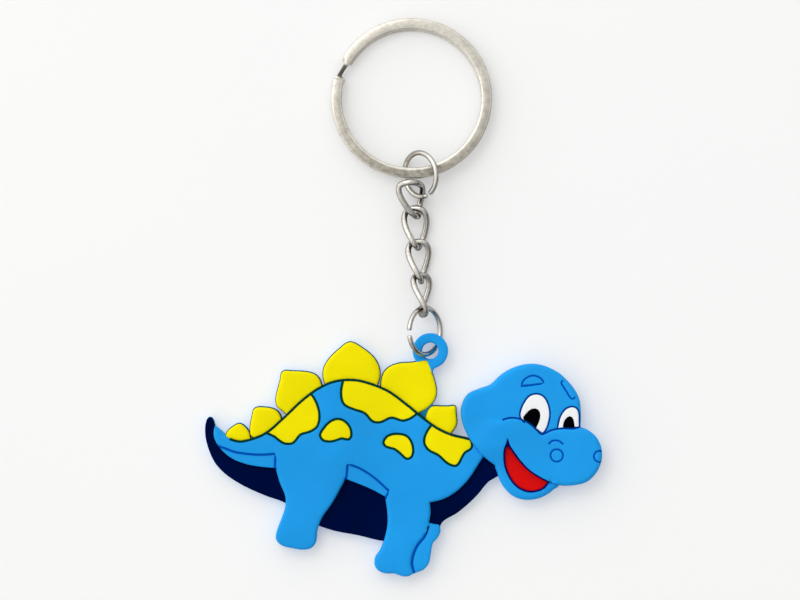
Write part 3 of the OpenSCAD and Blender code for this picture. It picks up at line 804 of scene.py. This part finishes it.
def side_shade(add, link, place, colour):
    """Painted shade: darker metal on the sides of a wire, which face up least."""
    parts = add("ShaderNodeSeparateXYZ")
    link(add("ShaderNodeTexCoord").outputs["Normal"], parts.inputs[0])
    share = spread(add, link, parts.outputs["Z"], SIDE_SHADE_SLOPES, SIDE_SHADE_SHARES)
    return mix(add, link, share, colour, SIDE_SHADE_GREY)


def distance_to(add, link, place, centre):
    """Distance in the drawing plane from a point of the part."""
    flat = add("ShaderNodeVectorMath")
    flat.operation = "MULTIPLY"
    flat.inputs[1].default_value = (1.0, 1.0, 0.0)
    link(place, flat.inputs[0])
    gap = add("ShaderNodeVectorMath")
    gap.operation = "DISTANCE"
    gap.inputs[1].default_value = (centre[0] * MM, centre[1] * MM, 0.0)
    link(flat.outputs["Vector"], gap.inputs[0])
    return gap.outputs["Value"]


def product(add, link, *values):
    """The product of two or more values."""
    result = values[0]
    for value in values[1:]:
        made = add("ShaderNodeMath")
        made.operation = "MULTIPLY"
        link(result, made.inputs[0])
        link(value, made.inputs[1])
        result = made.outputs[0]
    return result


def coil_wear_and_shade(add, link, place, colour):
    """A grey middle, partly wear and partly painted shade, that leaves the rims as painted highlights
    and is darkest near the chain, and painted shade in the jog.
    """
    inner = (RING_OUTER / 2 - RING_BAND) * MM
    outer = RING_OUTER / 2 * MM
    from_middle = distance_to(add, link, place, RING_AT)
    across = spread(add, link, from_middle, (inner, outer), (0.0, 1.0))
    band = ramp(add, link, across, [(WEAR_SHADE_START, BLACK), (WEAR_SHADE_FULL, WHITE),
                                    (1 - WEAR_SHADE_FULL, WHITE), (1 - WEAR_SHADE_START, BLACK)])
    from_chain = distance_to(add, link, place, (RING_AT[0], RING_AT[1] - RING_OUTER / 2))
    near_chain = spread(add, link, from_chain, WEAR_DISTANCES, WEAR_SHARES)
    speckle = noise(add, link, place, scale=1.3, detail=6.0, rough=0.75)
    patches = spread(add, link, speckle, (0.38, 0.62), (0.6, 1.0))
    worn_and_shaded_middle = mix(add, link, product(add, link, band, near_chain, patches), colour, WEAR_AND_SHADE_GREY)
    # Painted shade in the jog, where the upper turn steps down to the lower one
    middle = math.radians(JOG_ANGLE - JOG_SPAN / 2)
    jog = (RING_AT[0] + RING_RADIUS * math.cos(middle), RING_AT[1] + RING_RADIUS * math.sin(middle))
    from_jog = distance_to(add, link, place, jog)
    dark = spread(add, link, from_jog, JOG_DISTANCES, JOG_SHARES)
    return mix(add, link, dark, worn_and_shaded_middle, JOG_SHADE)


COIL_METAL = nickel("nickel_coil", coil_wear_and_shade, COIL_NICKEL, rough=0.28)
# The jump rings and links are painted darker on the sides of their wires, as painted shade
JUMP_RING_METAL = nickel("nickel_jump_ring", side_shade, stain=0.3)
LINK_METAL = nickel("nickel_link", side_shade, stain=0.45)


def sweep(name, path, outward, section, closed=False):
    """A solid swept along a path.

    section gives the (out, up) offsets of the outline at a point, by the number of that point.
    outward gives the direction that counts as out at each point.
    """
    n = len(path)
    if closed:
        tangents = np.roll(path, -1, 0) - np.roll(path, 1, 0)
    else:
        tangents = np.gradient(path, axis=0)
    tangents /= np.linalg.norm(tangents, axis=1, keepdims=True)
    sides = outward - (outward * tangents).sum(1, keepdims=True) * tangents
    sides /= np.linalg.norm(sides, axis=1, keepdims=True)
    ups = np.cross(tangents, sides)
    rings = []
    for i in range(n):
        offsets = section(i)
        rings.append(path[i] + offsets[:, :1] * sides[i] + offsets[:, 1:] * ups[i])
    count = len(rings[0])
    points = np.concatenate(rings)
    faces = []
    for i in range(n if closed else n - 1):
        a, b = i * count, (i + 1) % n * count
        faces += [(a + k, a + (k + 1) % count, b + (k + 1) % count, b + k) for k in range(count)]
    if not closed:
        faces += [tuple(range(count))[::-1], tuple(range((n - 1) * count, n * count))]
    return make_object(name, points, faces)


def unit_rows(v):
    return v / np.linalg.norm(v, axis=1, keepdims=True)


def rotation(axis, degrees):
    a = math.radians(degrees)
    c, s = math.cos(a), math.sin(a)
    return {"x": np.array([[1, 0, 0], [0, c, -s], [0, s, c]]),
            "y": np.array([[c, 0, s], [0, 1, 0], [-s, 0, c]]),
            "z": np.array([[c, -s, 0], [s, c, 0], [0, 0, 1]])}[axis]


WIRE_SIDES = 20
# The cut ends of a wire are rounded off over this share of its length, down to this much thinner
CUT_BEVEL = 0.012
CUT_NARROWS = 0.28
# Where the extra points of a rounded end lie, as shares of the bevel
TIP_SHARES = [0.0, 0.2, 0.45, 0.7]


def wire_circle(wire):
    """The outline of a round wire, as (out, up) from its middle."""
    angles = np.arange(WIRE_SIDES) * 2 * math.pi / WIRE_SIDES
    return np.stack([np.cos(angles), np.sin(angles)], 1) * (wire / 2)


def end_spaced(count):
    """Shares from 0 to 1 with extra ones close to both ends, where a cut end is rounded."""
    inner = np.linspace(CUT_BEVEL, 1 - CUT_BEVEL, count)
    tip = CUT_BEVEL * np.array(TIP_SHARES)
    return np.concatenate([tip, inner, 1 - tip[::-1]])


# The gap of a jump ring in degrees, and how many points its wire has between the cut ends
JUMP_GAP = 13.0
JUMP_POINTS = 96


def jump_ring(node, radius, wire, at, yaw, tilt, opening):
    """An open wire ring that rests on the table. yaw, tilt and opening are angles in degrees."""
    shares = end_spaced(JUMP_POINTS)
    angles = np.radians(opening + JUMP_GAP / 2 + shares * (360 - JUMP_GAP))
    flat = np.stack([radius * np.cos(angles), radius * np.sin(angles), 0 * angles], 1)
    place = rotation("z", yaw) @ rotation("y", tilt)
    centre = np.array([at[0], at[1], radius * math.sin(math.radians(abs(tilt))) + wire / 2])
    circle = wire_circle(wire)

    def section(i):
        from_end = min(shares[i], 1 - shares[i])
        return circle * (1 - CUT_NARROWS * max(0.0, 1 - from_end / CUT_BEVEL) ** 2)

    piece = sweep(f"{node}_wire", flat @ place.T + centre, unit_rows(flat) @ place.T, section)
    return finish_piece(piece, node, "nickel", JUMP_RING_METAL, node)


LINK_LENGTH = 6.2
LINK_WIDTH = 3.8
LINK_WIRE = 0.92
LINK_TWIST = 88.0
LINK_TOP_TURN = -10.0
LINK_BLUNT = 0.76
LINK_POINTS = 168
# Each link's centre, its yaw, pitch and roll in degrees, and how far it is bent to one side
LINKS = [
    ((1.3, 15.3, 2.93), (24.5, 34, -9), 0.39),
    ((1.97, 10.75, 2.02), (5, 0, 1.5), 0),
    ((2.45, 5.55, 2.15), (5, 0, 15), 0),
    ((2.9, 0.39, 2.7), (4, -6.6, 35.5), 0),
]


def blunt(wave):
    """A sine or cosine whose curve is squarer, which makes an oval blunt."""
    return np.sign(wave) * np.abs(wave) ** LINK_BLUNT


def link_path(centre, turns, bend):
    """The middle line of a link and its outward directions.

    It is a blunt oval, turned about its length from one end to the other.
    """
    t = (np.arange(LINK_POINTS) + 0.5) * 2 * math.pi / LINK_POINTS
    v = blunt(np.sin(t))
    x = LINK_WIDTH / 2 * blunt(np.cos(t)) + bend * (1 - v * v)
    angle = np.radians(LINK_TOP_TURN + LINK_TWIST * (1 - v) / 2)
    line = np.stack([x * np.cos(angle), LINK_LENGTH / 2 * v, -x * np.sin(angle)], 1)
    yaw, pitch, roll = turns
    place = rotation("z", yaw) @ rotation("x", pitch) @ rotation("y", roll)
    return line @ place.T + np.array(centre), unit_rows(line) @ place.T


def chain_link(number, centre, turns, bend):
    node = f"chain_link_{number}"
    path, outward = link_path(centre, turns, bend)
    circle = wire_circle(LINK_WIRE)
    piece = sweep(f"{node}_wire", path, outward, lambda i: circle, closed=True)
    return finish_piece(piece, node, "nickel", LINK_METAL, node)


# How many points the ring's wire has, and how many more in the jog
RING_POINTS = 330
JOG_POINTS = 37
# The wire is crimped in the jog: this share of its width, moving from inside to outside
CRIMP = 0.38
CRIMP_DRIFT = 0.5
# The crimp starts half a jog early. It narrows slowly and widens quickly, by these slopes
CRIMP_LEAD = 0.5
CRIMP_IN = 1.4
CRIMP_OUT = 5
# The lower turn is wound this much smaller opposite the chain, so that its edge shows
UNDER_TURN = 0.22
# The wire's two ends narrow by this share over their last degrees
END_NARROWS = 0.2
END_ROUND = 1.2


def band_outline():
    """Half-flat wire section: a rectangle with rounded corners, as (out, up) from its middle."""
    points = []
    for corner, (sx, sy) in enumerate(((1, 1), (-1, 1), (-1, -1), (1, -1))):
        for a in (0, 22.5, 45, 67.5, 90):
            angle = math.radians(90 * corner + a)
            points.append((sx * (RING_BAND / 2 - BAND_ROUND) + BAND_ROUND * math.cos(angle),
                           sy * (COIL_HEIGHT / 2 - BAND_ROUND) + BAND_ROUND * math.sin(angle)))
    return np.array(points)


def split_ring():
    """One flat wire wound twice, with a jog from the upper turn to the lower one."""
    turn_span = 360 - END_GAP - JOG_SPAN
    total = 2 * turn_span + JOG_SPAN
    shares = end_spaced(RING_POINTS)
    shares[:len(TIP_SHARES)] *= 0.5
    shares[-len(TIP_SHARES):] = 1 - shares[:len(TIP_SHARES)][::-1]
    in_jog = (turn_span + JOG_SPAN * np.linspace(-CRIMP_LEAD, 1, JOG_POINTS)) / total
    shares = np.sort(np.concatenate([shares, in_jog]))
    swept = shares * total
    angles = np.radians(JOG_ANGLE + END_GAP + swept)
    along_jog = (swept - turn_span) / JOG_SPAN
    still_up = ease(1 - along_jog)
    height = COIL_HEIGHT / 2 + (COIL_HEIGHT + COIL_GAP) * still_up
    radius = RING_RADIUS - UNDER_TURN * (1 - still_up) * np.maximum(np.sin(angles), 0)
    flat = np.stack([radius * np.cos(angles), radius * np.sin(angles), height], 1)
    outward = np.stack([np.cos(angles), np.sin(angles), 0 * angles], 1)
    lean = math.asin(RING_LIFT / RING_OUTER)
    place = rotation("x", -math.degrees(lean))
    centre = np.array([RING_AT[0], RING_AT[1], RING_OUTER / 2 * math.sin(lean)])
    band = band_outline()
    crimped = ease(np.minimum(CRIMP_IN * (along_jog + CRIMP_LEAD), CRIMP_OUT * (1 - along_jog)))
    width = 1 - (1 - CRIMP) * crimped
    shift = (1 - width) * CRIMP_DRIFT * (2 * np.clip(along_jog, 0, 1) - 1)
    from_end = np.minimum(shares, 1 - shares) * total / END_ROUND
    size = 1 - END_NARROWS * np.maximum(0, 1 - from_end) ** 2

    def section(i):
        return band * size[i] * (width[i], 1) + (shift[i], 0)

    piece = sweep("split_ring_wire", flat @ place.T + centre, outward @ place.T, section)
    return finish_piece(piece, "split_ring", "nickel", COIL_METAL, "split_ring")


split_ring()
jump_ring("top_jump_ring", radius=3.4, wire=0.8, at=(2.6, 19.0), yaw=9.0, tilt=-45.0, opening=-72.0)
jump_ring("lower_jump_ring", radius=3.6, wire=0.76, at=(3.3, -5.2), yaw=0.0, tilt=48.0, opening=184.0)
for number, (centre, turns, bend) in enumerate(LINKS, 1):
    chain_link(number, centre, turns, bend)

# --- stage, light and camera ---
VIEW_CENTRE = (-0.54, -0.39)
VIEW_WIDTH = 124.0
CAMERA_HEIGHT = 420.0
# Height of the plane that the width of the view is measured in
MIDDLE_HEIGHT = 2
SENSOR_WIDTH = 36.0
FLOOR_HALF = 600.0
FLOOR_Z = -0.02
CORNER_SIGNS = [(-1, -1), (1, -1), (1, 1), (-1, 1)]
PAPER = (0.85, 0.85, 0.848)
PAPER_SHADE = (0.842, 0.844, 0.846)
# The light table under the paper glows a little, which keeps the shadows faint
FLOOR_GLOW = 0.27
# Brightness of the room at its middle, and how much it grows along each direction
ROOM_LEVEL = 0.66
ROOM_LEAN = (-0.55, 0.45, 0.3)
ROOM_WHITE = (1.0, 1.0, 0.99, 1.0)


def stage_floor():
    """A sheet of pale paper, lit a little from below."""
    corners = [(sx * FLOOR_HALF, sy * FLOOR_HALF, FLOOR_Z) for sx, sy in CORNER_SIGNS]
    floor = make_object("floor", corners, [(0, 1, 2, 3)])
    material = new_material("pale_paper")
    shader, add, link = node_tools(material)
    place = add("ShaderNodeTexCoord").outputs["Object"]
    shade = noise(add, link, place, scale=0.01, detail=2.0)
    paper = ramp(add, link, shade, [(0.3, linear(PAPER_SHADE)), (0.7, linear(PAPER))])
    link(paper, shader.inputs["Base Color"])
    shader.inputs["Roughness"].default_value = 0.75
    shader.inputs["Specular IOR Level"].default_value = 0.2
    shader.inputs["Emission Color"].default_value = (1.0, 1.0, 1.0, 1.0)
    shader.inputs["Emission Strength"].default_value = FLOOR_GLOW
    floor.data.materials.append(material)


def area_light(name, place, size, power, colour):
    """A round soft lamp that shines at the middle of the part."""
    lamp = bpy.data.lights.new(name, "AREA")
    lamp.shape = "DISK"
    lamp.size = size * MM
    lamp.energy = power
    lamp.color = colour
    thing = bpy.data.objects.new(name, lamp)
    thing.location = Vector(place) * MM
    thing.rotation_euler = (-thing.location).to_track_quat("-Z", "Y").to_euler()
    bpy.context.scene.collection.objects.link(thing)


def studio():
    """An even white room, brighter towards the key light so that metal shows its roundness."""
    world = bpy.data.worlds.new("studio")
    world.use_nodes = True
    tree = world.node_tree
    back = tree.nodes["Background"]
    back.inputs["Color"].default_value = ROOM_WHITE
    direction = tree.nodes.new("ShaderNodeTexCoord").outputs["Generated"]
    lean = tree.nodes.new("ShaderNodeVectorMath")
    lean.operation = "DOT_PRODUCT"
    lean.inputs[1].default_value = ROOM_LEAN
    level = tree.nodes.new("ShaderNodeMath")
    level.inputs[1].default_value = ROOM_LEVEL
    tree.links.new(direction, lean.inputs[0])
    tree.links.new(lean.outputs["Value"], level.inputs[0])
    tree.links.new(level.outputs[0], back.inputs["Strength"])
    bpy.context.scene.world = world
    area_light("key", (-160, 200, 420), size=260, power=0.35, colour=(1.0, 0.985, 0.96))


def camera():
    """A long lens that looks straight down on the part."""
    lens = bpy.data.cameras.new("camera")
    lens.sensor_width = SENSOR_WIDTH
    lens.lens = SENSOR_WIDTH * CAMERA_HEIGHT / VIEW_WIDTH
    lens.clip_start = 0.01
    lens.clip_end = 10.0
    view = bpy.data.objects.new("camera", lens)
    view.location = Vector((*VIEW_CENTRE, CAMERA_HEIGHT + MIDDLE_HEIGHT)) * MM
    bpy.context.scene.collection.objects.link(view)
    bpy.context.scene.camera = view


stage_floor()
studio()
camera()
bpy.context.scene.view_settings.view_transform = "Standard"
